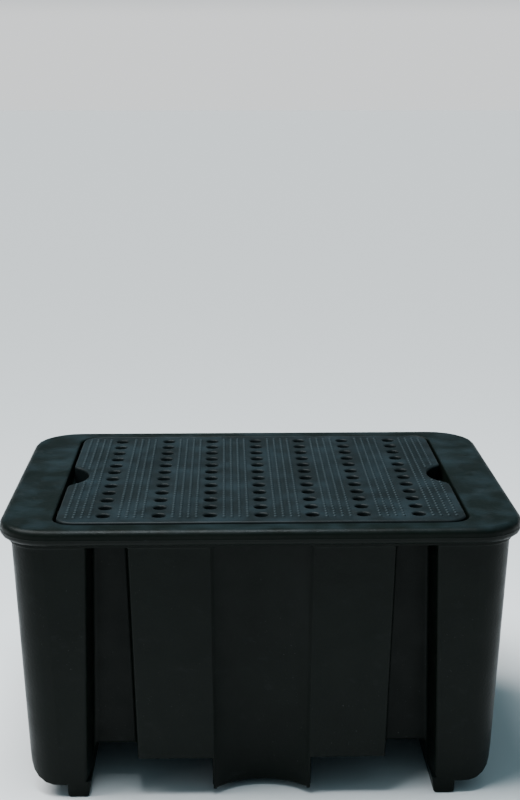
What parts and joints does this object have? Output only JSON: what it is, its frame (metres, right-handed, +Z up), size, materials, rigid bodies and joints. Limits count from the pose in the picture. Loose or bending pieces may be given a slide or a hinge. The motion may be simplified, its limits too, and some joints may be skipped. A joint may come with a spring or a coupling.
{
  "type": "spill containment pallet",
  "caption": "Black moulded sump pallet for one drum, with fluted walls, fork pockets and a perforated deck that lifts out.",
  "frame": {"origin": "middle of the footprint, on the floor under the skids", "axes": "+X right along the long side, +Y from the front to the back, +Z up"},
  "size_m": [1.01, 0.73, 0.58],
  "materials": {
    "sump_plastic": "satin, fine moulding grain",
    "deck_plastic": "satin, raised grip studs"
  },
  "bodies": {
    "sump": {"front_rim": "sump_plastic", "back_rim": "sump_plastic", "right_rim": "sump_plastic", "left_rim": "sump_plastic", "deck_seat": "sump_plastic", "front_wall": "sump_plastic", "back_wall": "sump_plastic", "right_wall": "sump_plastic", "left_wall": "sump_plastic", "front_right_corner": "sump_plastic", "front_left_corner": "sump_plastic", "back_right_corner": "sump_plastic", "back_left_corner": "sump_plastic", "centre_leg": "sump_plastic", "right_floor": "sump_plastic", "left_floor": "sump_plastic", "right_runner": "sump_plastic", "left_runner": "sump_plastic", "right_skid": "sump_plastic", "left_skid": "sump_plastic"},
    "deck": {"deck": "deck_plastic"}
  },
  "joints": [
    {"name": "deck_lift", "type": "slide", "parent": "sump", "child": "deck", "axis": [0, 0, 1], "range_m": [0, 0.25]}
  ]
}
